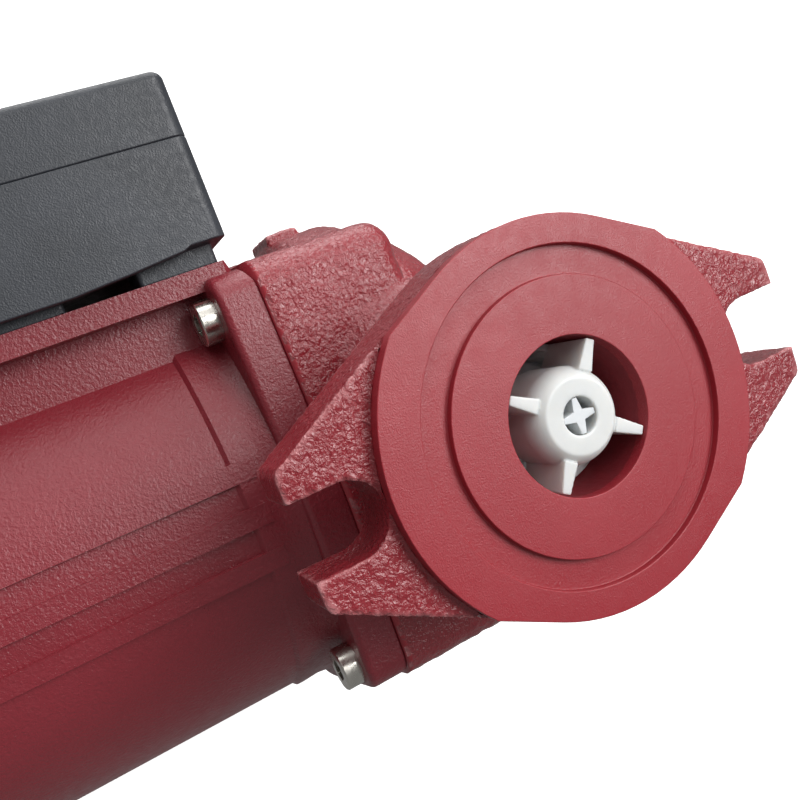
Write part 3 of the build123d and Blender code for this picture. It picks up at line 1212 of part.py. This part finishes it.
with BuildPart() as check_valve_seat:
    revolve(
        piped(
            (SEAT_BORE, below(SEAT_LIP_TOP)), (SEAT_BORE + SEAT_LIP, below(SEAT_LIP_TOP)),
            (SEAT_BORE + SEAT_LIP_ROOT, below(SEAT_TOP + LOOSE_GAP)), (VALVE_RADIUS, below(SEAT_TOP)),
            (VALVE_RADIUS, below(VALVE_RING_PLACE - GROOVE_REACH)),
            (GROOVE_BASE, below(VALVE_RING_PLACE - GROOVE_REACH)),
            (GROOVE_BASE, below(VALVE_RING_PLACE + GROOVE_REACH)),
            (VALVE_RADIUS, below(VALVE_RING_PLACE + GROOVE_REACH)),
            (VALVE_RADIUS, below(SEAT_BOTTOM)), (SEAT_BORE, below(SEAT_BOTTOM)),
        ),
        axis=Axis.Z,
    )
check_valve_seat.part.label = "check_valve_seat"
export_step(check_valve_seat.part, "parts/check_valve_seat.step")

with BuildPart() as check_valve_o_ring:
    add(o_ring(Plane.XY.offset(below(VALVE_RING_PLACE)), VALVE_RING_RADIUS, VALVE_RING_CORD))
check_valve_o_ring.part.label = "check_valve_o_ring"
export_step(check_valve_o_ring.part, "parts/check_valve_o_ring.step")

with BuildPart() as check_valve_poppet:
    revolve(
        piped(
            (0, below(DISC_TOP)), (DISC_RADIUS - DISC_EDGE, below(DISC_TOP)),
            (DISC_RADIUS, below(DISC_TOP + DISC_EDGE)), (DISC_RADIUS, below(DISC_TOP + DISC_THICKNESS)),
            (TAIL_RADII[0], below(DISC_TOP + DISC_THICKNESS)), (TAIL_RADII[1], below(TAIL_DEPTHS[0])),
            (0, below(TAIL_DEPTHS[1])),
        ),
        axis=Axis.Z,
    )
    with BuildSketch(Plane.XY.offset(below(DISC_TOP))):
        Polygon(*star(STEM_ARMS), align=None)
    extrude(amount=DISC_TOP - STEM_TOP)
check_valve_poppet.part.label = "check_valve_poppet"
export_step(check_valve_poppet.part, "parts/check_valve_poppet.step")

with BuildPart() as poppet_seal:
    with BuildSketch(Plane.XY.offset(below(DISC_TOP + DISC_THICKNESS))):
        Circle(POPPET_SEAL_RADII[1])
        Circle(POPPET_SEAL_RADII[0], mode=Mode.SUBTRACT)
    extrude(amount=-POPPET_SEAL_THICKNESS)
poppet_seal.part.label = "poppet_seal"
export_step(poppet_seal.part, "parts/poppet_seal.step")

with BuildPart() as check_valve_spring:
    with BuildLine() as coil:
        Helix((SPRING_BOTTOM - SPRING_TOP) / SPRING_TURNS, SPRING_BOTTOM - SPRING_TOP, SPRING_RADIUS,
              center=(0, 0, below(SPRING_BOTTOM)))
    with BuildSketch(Plane(origin=coil.line @ 0, z_dir=coil.line % 0)):
        Circle(SPRING_WIRE)
    sweep(path=coil.line, is_frenet=True)
check_valve_spring.part.label = "check_valve_spring"
export_step(check_valve_spring.part, "parts/check_valve_spring.step")
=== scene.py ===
import bmesh
import bpy
import json
import numpy as np
from math import radians
from mathutils import Matrix, Vector


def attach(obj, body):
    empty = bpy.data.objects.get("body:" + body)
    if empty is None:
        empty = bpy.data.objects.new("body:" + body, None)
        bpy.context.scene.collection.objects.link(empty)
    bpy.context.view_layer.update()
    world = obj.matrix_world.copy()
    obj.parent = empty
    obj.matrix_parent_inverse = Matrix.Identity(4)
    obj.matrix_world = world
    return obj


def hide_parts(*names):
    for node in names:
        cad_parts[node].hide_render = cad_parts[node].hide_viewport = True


# A wet-rotor circulator pump, seen from close above its discharge flange.
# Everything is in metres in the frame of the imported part: +Z up the pipe axis from the suction
# flange's face, -Y along the shaft towards the motor's end, -X towards the terminal box.

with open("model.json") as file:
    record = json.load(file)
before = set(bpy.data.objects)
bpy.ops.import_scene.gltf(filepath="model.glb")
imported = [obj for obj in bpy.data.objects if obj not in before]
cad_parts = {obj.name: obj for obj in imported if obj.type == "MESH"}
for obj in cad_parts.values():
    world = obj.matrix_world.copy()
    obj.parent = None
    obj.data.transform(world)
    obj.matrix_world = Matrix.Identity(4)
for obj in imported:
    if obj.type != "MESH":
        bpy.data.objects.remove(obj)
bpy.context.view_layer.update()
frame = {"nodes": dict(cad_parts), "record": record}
NODES = frame["nodes"]
MM = 0.001

PORT_TO_PORT = 165 * MM
SHAFT_HEIGHT = PORT_TO_PORT / 2
FACE_RADIUS = 34 * MM
EAR_STEP = 2.7 * MM
FLANGE_THICKNESS = 14.1 * MM
PORT_RADIUS = 12.8 * MM
JOINT_Y = -30 * MM
JOINT_REACH = 48 * MM
CHAMBER_SPAN = (50 * MM, 110 * MM)
# strength of the painted highlight along the casting's sharp edges
EDGE_HIGHLIGHT_STRENGTH = 0.8
MOST_TRIANGLES = 195000
JOINED = 0.001 * MM


# ---------------------------------------------------------------- materials
class Paint:
    """A material being put together: short calls add its nodes and link them to the shader."""

    def __init__(self, name, color=None, **sockets):
        self.material = bpy.data.materials.new(name)
        self.material.use_nodes = True
        self.tree = self.material.node_tree
        self.shader = self.tree.nodes["Principled BSDF"]
        self.place = self.tree.nodes.new("ShaderNodeTexCoord").outputs["Object"]
        if color:
            self.shader.inputs["Base Color"].default_value = (*color, 1)
        for socket, value in sockets.items():
            self.shader.inputs[socket.replace("_", " ").title().replace("Ior", "IOR")].default_value = value

    def add(self, kind, links=None, **settings):
        node = self.tree.nodes.new(kind)
        for key, value in settings.items():
            setattr(node, key, value)
        for socket, source in (links or {}).items():
            if isinstance(source, bpy.types.NodeSocket):
                self.tree.links.new(source, node.inputs[socket])
            else:
                node.inputs[socket].default_value = source
        return node

    def noise(self, scale, detail=3.0, roughness=0.5, distortion=0.0):
        node = self.add("ShaderNodeTexNoise", {
            "Vector": self.place, "Scale": scale, "Detail": detail, "Roughness": roughness,
            "Distortion": distortion,
        })
        return node.outputs["Fac"]

    def cells(self, scale):
        node = self.add(
            "ShaderNodeTexVoronoi", {"Vector": self.place, "Scale": scale}, feature="SMOOTH_F1",
        )
        return node.outputs["Distance"]

    def span(self, value, low, high, to_low=0.0, to_high=1.0):
        node = self.add("ShaderNodeMapRange", {
            "Value": value, "From Min": low, "From Max": high, "To Min": to_low, "To Max": to_high,
        }, interpolation_type="SMOOTHSTEP")
        return node.outputs["Result"]

    def math(self, operation, first, second):
        node = self.add("ShaderNodeMath", operation=operation)
        for socket, source in zip(node.inputs, (first, second)):
            if isinstance(source, bpy.types.NodeSocket):
                self.tree.links.new(source, socket)
            else:
                socket.default_value = source
        return node.outputs[0]

    def blend(self, factor, first, second):
        node = self.add("ShaderNodeMix", data_type="RGBA")
        for socket, source in ((node.inputs[0], factor), (node.inputs[6], first), (node.inputs[7], second)):
            if isinstance(source, bpy.types.NodeSocket):
                self.tree.links.new(source, socket)
            else:
                socket.default_value = source if isinstance(source, float) else (*source, 1)
        return node.outputs[2]

    def bump(self, height, distance, strength=1.0, under=None):
        node = self.add("ShaderNodeBump", {"Height": height, "Distance": distance, "Strength": strength})
        if under is not None:
            self.tree.links.new(under, node.inputs["Normal"])
        return node.outputs["Normal"]

    def edges(self, low, high):
        """From 0 on flat and hollow places to 1 on sharp, outward edges."""
        pointed = self.add("ShaderNodeNewGeometry").outputs["Pointiness"]
        return self.span(pointed, low, high)

    def feed(self, socket, source):
        self.tree.links.new(source, self.shader.inputs[socket])
        return self


def red_enamel(name, grain, grain_depth, lump, lump_depth, gloss, tones, coat=0.0, edge_highlight=None):
    """Thick red paint: its tone drifts, a painted highlight turns its sharp outward edges pale, and it
    follows the metal's texture.
    """
    paint = Paint(name, roughness=gloss[0], specular_ior_level=0.5, coat_weight=coat, coat_roughness=0.08)
    drift = paint.span(paint.noise(26, 4), 0.35, 0.65)
    fine = paint.span(paint.noise(1400, 3), 0.3, 0.7)
    body = paint.blend(drift, tones[0], tones[1])
    body = paint.blend(paint.math("MULTIPLY", fine, 0.22), body, tones[2])
    if edge_highlight:
        # painted highlight: sharp outward edges are blended towards a pale pink
        body = paint.blend(paint.math("MULTIPLY", paint.edges(0.52, 0.60), EDGE_HIGHLIGHT_STRENGTH), body, edge_highlight)
    paint.feed("Base Color", body)
    paint.feed("Roughness", paint.span(paint.noise(420, 4), 0.25, 0.75, gloss[0], gloss[1]))
    lumps = paint.bump(paint.noise(lump, 3, 0.55, 0.4), lump_depth)
    texture = paint.bump(paint.noise(grain, 4, 0.6), grain_depth, under=lumps)
    paint.feed("Normal", texture)
    paint.feed("Coat Normal", texture)
    return paint.material


RED_TONES = ((0.300, 0.019, 0.029), (0.345, 0.025, 0.037), (0.25, 0.014, 0.022))
CAST_TONES = ((0.235, 0.012, 0.020), (0.28, 0.017, 0.027), (0.18, 0.009, 0.015))
SHELL_TONES = ((0.205, 0.017, 0.026), (0.24, 0.022, 0.033), (0.165, 0.013, 0.020))
# pale pink of the painted highlight along the casting's sharp edges
EDGE_HIGHLIGHT_RED = (0.66, 0.28, 0.29)
CAST_RED = red_enamel(
    "cast_red_enamel", 2600, 0.025 * MM, 1050, 0.50 * MM, (0.24, 0.36), CAST_TONES, 0.45, EDGE_HIGHLIGHT_RED
)
FACE_RED = red_enamel("machined_red_enamel", 3600, 0.06 * MM, 900, 0.03 * MM, (0.30, 0.42), RED_TONES)
MOTOR_RED = red_enamel(
    "powder_coated_red", 2600, 0.07 * MM, 1500, 0.17 * MM, (0.27, 0.40), SHELL_TONES, 0.1
)


def bore_red():
    paint = Paint("port_red", roughness=0.5)
    paint.feed("Base Color", paint.blend(paint.noise(400, 4), (0.16, 0.012, 0.018), (0.27, 0.02, 0.03)))
    paint.feed("Normal", paint.bump(paint.noise(1100, 4), 0.05 * MM))
    return paint.material


PORT_RED = bore_red()


def grained_plastic(name, dark, light, grain, depth, rough):
    """Moulded plastic with a fine leather grain."""
    paint = Paint(name, specular_ior_level=0.5)
    paint.feed("Base Color", paint.blend(paint.span(paint.noise(60, 4), 0.3, 0.7), dark, light))
    paint.feed("Roughness", paint.span(paint.noise(700, 3), 0.3, 0.7, rough - 0.06, rough + 0.08))
    pebbles = paint.span(paint.cells(grain), 0.1, 0.7)
    under = paint.bump(paint.noise(grain * 0.45, 3), depth)
    paint.feed("Normal", paint.bump(pebbles, depth, 0.8, under))
    return paint.material


def smooth_plastic(name, dark, light, rough, subsurface=0.0):
    """Moulded plastic with a satin skin and a faint ripple."""
    paint = Paint(name, specular_ior_level=0.5, subsurface_weight=subsurface)
    paint.shader.inputs["Subsurface Radius"].default_value = (0.0022, 0.002, 0.0018)
    paint.shader.inputs["Subsurface Scale"].default_value = 1.0
    paint.feed("Base Color", paint.blend(paint.span(paint.noise(180, 4), 0.3, 0.7), dark, light))
    paint.feed("Roughness", paint.span(paint.noise(900, 3), 0.3, 0.7, rough - 0.05, rough + 0.07))
    paint.feed("Normal", paint.bump(paint.noise(1300, 3), 0.012 * MM))
    return paint.material


def turned_metal(name, color, rough, brushed, tarnish):
    """Bright metal with fine tool marks, uneven gloss and darker handling marks."""
    paint = Paint(name, metallic=1.0)
    marks = paint.span(paint.noise(90, 5, 0.6), 0.35, 0.75)
    paint.feed("Base Color", paint.blend(paint.math("MULTIPLY", marks, tarnish), color,
                                         tuple(channel * 0.55 for channel in color)))
    paint.feed("Roughness", paint.span(paint.noise(600, 4), 0.25, 0.75, rough - 0.07, rough + 0.12))
    paint.feed("Normal", paint.bump(paint.noise(brushed, 4, 0.7), 0.01 * MM))
    return paint.material


def rubber(name):
    paint = Paint(name, specular_ior_level=0.35)
    paint.feed("Base Color", paint.blend(paint.noise(300, 4), (0.012, 0.012, 0.013), (0.035, 0.035, 0.036)))
    paint.feed("Roughness", paint.span(paint.noise(800, 3), 0.3, 0.7, 0.55, 0.78))
    paint.feed("Normal", paint.bump(paint.noise(1500, 3), 0.02 * MM))
    return paint.material


MATERIALS = {
    "red_cast_iron": CAST_RED,
    "red_die_cast": MOTOR_RED,
    "black_plastic": grained_plastic(
        "black_grained_plastic", (0.022, 0.025, 0.031), (0.034, 0.038, 0.047), 3600, 0.03 * MM, 0.44
    ),
    "grey_plastic": grained_plastic(
        "grey_plastic", (0.10, 0.105, 0.11), (0.14, 0.145, 0.15), 2000, 0.02 * MM, 0.4
    ),
    "gland_plastic": smooth_plastic("gland_nylon", (0.012, 0.012, 0.013), (0.022, 0.022, 0.023), 0.38),
    "white_plastic": smooth_plastic("white_acetal", (0.66, 0.67, 0.66), (0.70, 0.71, 0.70), 0.40, 0.8),
    "pale_plastic": smooth_plastic("pale_acetal", (0.62, 0.65, 0.67), (0.70, 0.725, 0.74), 0.38, 0.2),
    "impeller_plastic": smooth_plastic("filled_plastic", (0.05, 0.05, 0.045), (0.075, 0.07, 0.065), 0.5),
    "stainless_steel": turned_metal("stainless_steel", (0.62, 0.61, 0.59), 0.28, 2600, 0.4),
    "plated_steel": turned_metal("nickel_plated_steel", (0.72, 0.69, 0.63), 0.24, 2200, 0.5),
    "brass": turned_metal("turned_brass", (0.72, 0.52, 0.24), 0.27, 2400, 0.5),
    "aluminium": turned_metal("satin_aluminium", (0.78, 0.78, 0.78), 0.36, 3000, 0.25),
    "end_ring_aluminium": turned_metal("cast_aluminium", (0.70, 0.70, 0.69), 0.42, 900, 0.5),
    "ceramic": smooth_plastic("alumina", (0.80, 0.78, 0.72), (0.86, 0.85, 0.80), 0.25, 0.1),
    "carbon": smooth_plastic("carbon", (0.035, 0.035, 0.037), (0.055, 0.055, 0.058), 0.45),
    "lamination_steel": turned_metal("lamination_steel", (0.38, 0.38, 0.39), 0.42, 1500, 0.6),
    "copper_wire": turned_metal("enamelled_copper", (0.62, 0.27, 0.12), 0.32, 1100, 0.4),
    "black_rubber": rubber("black_rubber"),
    "lead_insulation": smooth_plastic("lead_insulation", (0.70, 0.70, 0.72), (0.80, 0.80, 0.82), 0.35),
    "terminal_plastic": smooth_plastic("terminal_plastic", (0.62, 0.58, 0.46), (0.70, 0.67, 0.56), 0.35),
    "switch_plastic": smooth_plastic("switch_plastic", (0.03, 0.03, 0.032), (0.045, 0.045, 0.048), 0.4),
    "capacitor_case": smooth_plastic("capacitor_case", (0.03, 0.06, 0.15), (0.045, 0.085, 0.20), 0.3),
}
for part in frame["record"]["subparts"]:
    node = NODES[part["node"]]
    for holder in node.material_slots:
        holder.material = MATERIALS[part["material_slot"]]


# ---------------------------------------------------------------- shapes
def settle(piece):
    """Puts a piece's modifiers into its mesh."""
    depsgraph = bpy.context.evaluated_depsgraph_get()
    mesh = bpy.data.meshes.new_from_object(piece.evaluated_get(depsgraph), depsgraph=depsgraph)
    piece.modifiers.clear()
    piece.data = mesh


def even_copy(node, name, voxel=None):
    """A copy of a CAD node's shape in small even faces: in voxels, or with its edges kept sharp."""
    piece = bpy.data.objects.new(name, NODES[node].data.copy())
    bpy.context.scene.collection.objects.link(piece)
    remesh = piece.modifiers.new("even", "REMESH")
    if voxel:
        remesh.mode = "VOXEL"
        remesh.voxel_size = voxel
    else:
        remesh.mode = "SHARP"
        remesh.octree_depth = 8
        remesh.use_remove_disconnected = False
    settle(piece)
    return piece


def trim(piece, low, high):
    """Keeps what of a piece lies between two heights, with its corners joined up."""
    solid = bmesh.new()
    solid.from_mesh(piece.data)
    bmesh.ops.remove_doubles(solid, verts=solid.verts, dist=JOINED)
    for height, way in ((low, -1), (high, 1)):
        bmesh.ops.bisect_plane(
            solid, geom=solid.verts[:] + solid.edges[:] + solid.faces[:], plane_co=(0, 0, height),
            plane_no=(0, 0, way), clear_outer=True,
        )
    piece.data = bpy.data.meshes.new(piece.name)
    solid.to_mesh(piece.data)
    solid.free()


def cut_copy(node, name, low, high):
    """A copy of a CAD node's own faces between two heights."""
    piece = bpy.data.objects.new(name, NODES[node].data)
    bpy.context.scene.collection.objects.link(piece)
    trim(piece, low, high)
    return piece


def spots(piece):
    """The places of a piece's vertices, one row each."""
    places = np.empty(len(piece.data.vertices) * 3)
    piece.data.vertices.foreach_get("co", places)
    return places.reshape(-1, 3)


def region(piece, name, chosen):
    """A vertex group of the chosen vertices."""
    group = piece.vertex_groups.new(name=name)
    group.add(np.nonzero(chosen)[0].tolist(), 1.0, "REPLACE")
    return name


def ease(piece, group, rounds):
    """Smooths one region of a piece."""
    smooth = piece.modifiers.new("ease", "SMOOTH")
    smooth.factor = 0.5
    smooth.iterations = rounds
    smooth.vertex_group = group
    settle(piece)


def thin_out(piece, most):
    """Keeps a piece to a number of triangles, taking them first where it is flattest."""
    count = sum(len(face.vertices) - 2 for face in piece.data.polygons)
    if count > most:
        fewer = piece.modifiers.new("fewer", "DECIMATE")
        fewer.ratio = most / count
        settle(piece)


def roughen(piece, group, size, depth):
    """Real hills and hollows, of a size and depth, over one region."""
    clouds = bpy.data.textures.new(f"{piece.name}_{group}_{size:.4f}", "CLOUDS")
    clouds.noise_scale = size
    clouds.noise_depth = 2
    hills = piece.modifiers.new("hills", "DISPLACE")
    hills.texture = clouds
    hills.texture_coords = "LOCAL"
    hills.strength = depth
    hills.mid_level = 0.5
    hills.vertex_group = group
    settle(piece)


def finish_faces(piece, materials, choose):
    """Gives each face its material: choose takes the faces' middles and returns their slots."""
    piece.data.materials.clear()
    for material in materials:
        piece.data.materials.append(material)
    count = len(piece.data.polygons)
    middles = np.empty(count * 3)
    piece.data.polygons.foreach_get("center", middles)
    piece.data.polygons.foreach_set("material_index", choose(middles.reshape(-1, 3)).astype(np.int32))
    piece.data.polygons.foreach_set("use_smooth", np.ones(count, dtype=bool))


def round_edges(piece, width, angle=30, clamped=True):
    """Flat faces shaded flat, with a narrow round on every sharp edge between them."""
    bevel = piece.modifiers.new("edges", "BEVEL")
    bevel.width = width
    bevel.segments = 2
    bevel.limit_method = "ANGLE"
    bevel.angle_limit = radians(angle)
    bevel.use_clamp_overlap = clamped
    flats = piece.modifiers.new("flats", "WEIGHTED_NORMAL")
    flats.mode = "FACE_AREA"
    flats.weight = 100


# ---------------------------------------------------------------- pump housing
def pump_regions(places):
    """(machined, port) flags for places on the pump housing; the margins take in its edges' rounds."""
    radius = np.hypot(places[:, 0], places[:, 1])
    height = places[:, 2]
    near_face = (height > PORT_TO_PORT - EAR_STEP + 0.2 * MM) | (height < EAR_STEP - 0.2 * MM)
    face = near_face & (radius < FACE_RADIUS + 0.4 * MM) & (radius > PORT_RADIUS - 0.3 * MM)
    port = (radius < PORT_RADIUS + 0.25 * MM) & ((height > CHAMBER_SPAN[1]) | (height < CHAMBER_SPAN[0]))
    joint = (places[:, 1] < JOINT_Y + 0.5 * MM) & (abs(height - SHAFT_HEIGHT) < JOINT_REACH)
    return face | joint, port & ~face


def pump_slots(middles):
    """The slot of PUMP_REDS for faces on the pump housing."""
    machined, port = pump_regions(middles)
    return np.where(machined, 1, np.where(port, 2, 0))


PUMP_REDS = (CAST_RED, FACE_RED, PORT_RED)
OVERLAP = 0.15 * MM
FAR = 1.0
casting = even_copy("pump_housing", "pump_housing_cast")
places = spots(casting)
machined, port = pump_regions(places)
height = places[:, 2]
in_flange = (height > PORT_TO_PORT - FLANGE_THICKNESS - 0.3 * MM) | (height < FLANGE_THICKNESS + 0.3 * MM)
cast = region(casting, "cast", ~(machined | port | in_flange))
flange_sides = region(casting, "flange_sides", ~(machined | port) & in_flange)
ease(casting, cast, 4)
ease(casting, flange_sides, 1)
roughen(casting, cast, 6 * MM, 0.4 * MM)
roughen(casting, cast, 1.4 * MM, 0.42 * MM)
roughen(casting, flange_sides, 1.4 * MM, 0.42 * MM)
trim(casting, EAR_STEP - 2 * OVERLAP, PORT_TO_PORT - EAR_STEP + 2 * OVERLAP)
thin_out(casting, MOST_TRIANGLES)
finish_faces(casting, PUMP_REDS, pump_slots)
discharge_face = cut_copy("pump_housing", "discharge_face", PORT_TO_PORT - EAR_STEP + OVERLAP, FAR)
suction_face = cut_copy("pump_housing", "suction_face", -FAR, EAR_STEP - OVERLAP)
for face in (discharge_face, suction_face):
    finish_faces(face, PUMP_REDS, pump_slots)
    round_edges(face, 0.18 * MM)
for piece in (casting, discharge_face, suction_face):
    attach(piece, "root")
    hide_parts("pump_housing")

# ---------------------------------------------------------------- check valve
cage = even_copy("check_valve_cage", "check_valve_cage_moulded", 0.17 * MM)
ease(cage, region(cage, "all", np.ones(len(cage.data.vertices), dtype=bool)), 3)
finish_faces(cage, (MATERIALS["white_plastic"],), lambda middles: np.zeros(len(middles)))
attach(cage, "root")
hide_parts("check_valve_cage")


# ---------------------------------------------------------------- moulded edges
def break_edges(node, width, clamped=True):
    """Rounds a CAD node's sharp edges a little, as moulds and cutters leave them."""
    joined = NODES[node].modifiers.new("joined", "WELD")
    joined.merge_threshold = JOINED
    round_edges(NODES[node], width, 35, clamped)


for node, width, clamped in (
    ("terminal_box_base", 0.3 * MM, False), ("terminal_box_lid", 0.3 * MM, False),
    ("motor_housing", 0.4 * MM, True), ("housing_screws", 0.2 * MM, True),
    ("check_valve_poppet", 0.12 * MM, True), ("speed_knob", 0.2 * MM, True),
):
    break_edges(node, width, clamped)


# ---------------------------------------------------------------- stage, light, camera
FLOOR_REACH = 6
FLOOR_DROP = 1 * MM


def plain(name, color, glow):
    paint = Paint(name, color, roughness=0.9, emission_strength=glow)
    paint.shader.inputs["Emission Color"].default_value = (1, 1, 1, 1)
    return paint.material


floor_mesh = bpy.data.meshes.new("floor")
corners = [(x * FLOOR_REACH, y * FLOOR_REACH, -FLOOR_DROP) for x, y in ((-1, -1), (1, -1), (1, 1), (-1, 1))]
floor_mesh.from_pydata(corners, [], [(0, 1, 2, 3)])
floor_mesh.materials.append(plain("pale_floor", (0.9, 0.9, 0.9), 0.6))
floor = bpy.data.objects.new("floor", floor_mesh)
floor.visible_diffuse = False
floor.visible_glossy = False
floor.visible_shadow = False
bpy.context.scene.collection.objects.link(floor)

world = bpy.data.worlds.new("studio")
world.use_nodes = True
world.node_tree.nodes["Background"].inputs["Color"].default_value = (1, 1, 1, 1)
world.node_tree.nodes["Background"].inputs["Strength"].default_value = 0.25
bpy.context.scene.world = world


AIM = (0, -0.03, 0.11)


def softbox(name, place, size, power):
    """A large soft lamp that faces the pump."""
    lamp = bpy.data.lights.new(name, "AREA")
    lamp.shape = "SQUARE"
    lamp.size = size
    lamp.energy = power
    holder = bpy.data.objects.new(name, lamp)
    holder.location = place
    holder.rotation_euler = (Vector(AIM) - Vector(place)).to_track_quat("-Z", "Y").to_euler()
    bpy.context.scene.collection.objects.link(holder)


softbox("key", (-0.27, 0.55, 1.10), 0.72, 13)
softbox("left", (-0.75, -0.15, 0.75), 0.7, 2.4)
softbox("backdrop", (-0.9, 0.2, 0.05), 0.9, 8)

LENS = 38.78
CAMERA_PLACE = (-0.02737, -0.07125, 0.27950)
CAMERA_RIGHT = (0.35643, 0.85720, 0.37170)
CAMERA_UP = (-0.92766, 0.37211, 0.03139)
CAMERA_BACK = (-0.11140, -0.35600, 0.92782)
lens = bpy.data.cameras.new("camera")
lens.sensor_width = 36
lens.lens = LENS
lens.clip_start = 0.01
camera = bpy.data.objects.new("camera", lens)
camera.matrix_world = Matrix.Translation(CAMERA_PLACE) @ Matrix(
    (CAMERA_RIGHT, CAMERA_UP, CAMERA_BACK)
).transposed().to_4x4()
bpy.context.scene.collection.objects.link(camera)
bpy.context.scene.camera = camera
bpy.context.scene.view_settings.view_transform = "Standard"
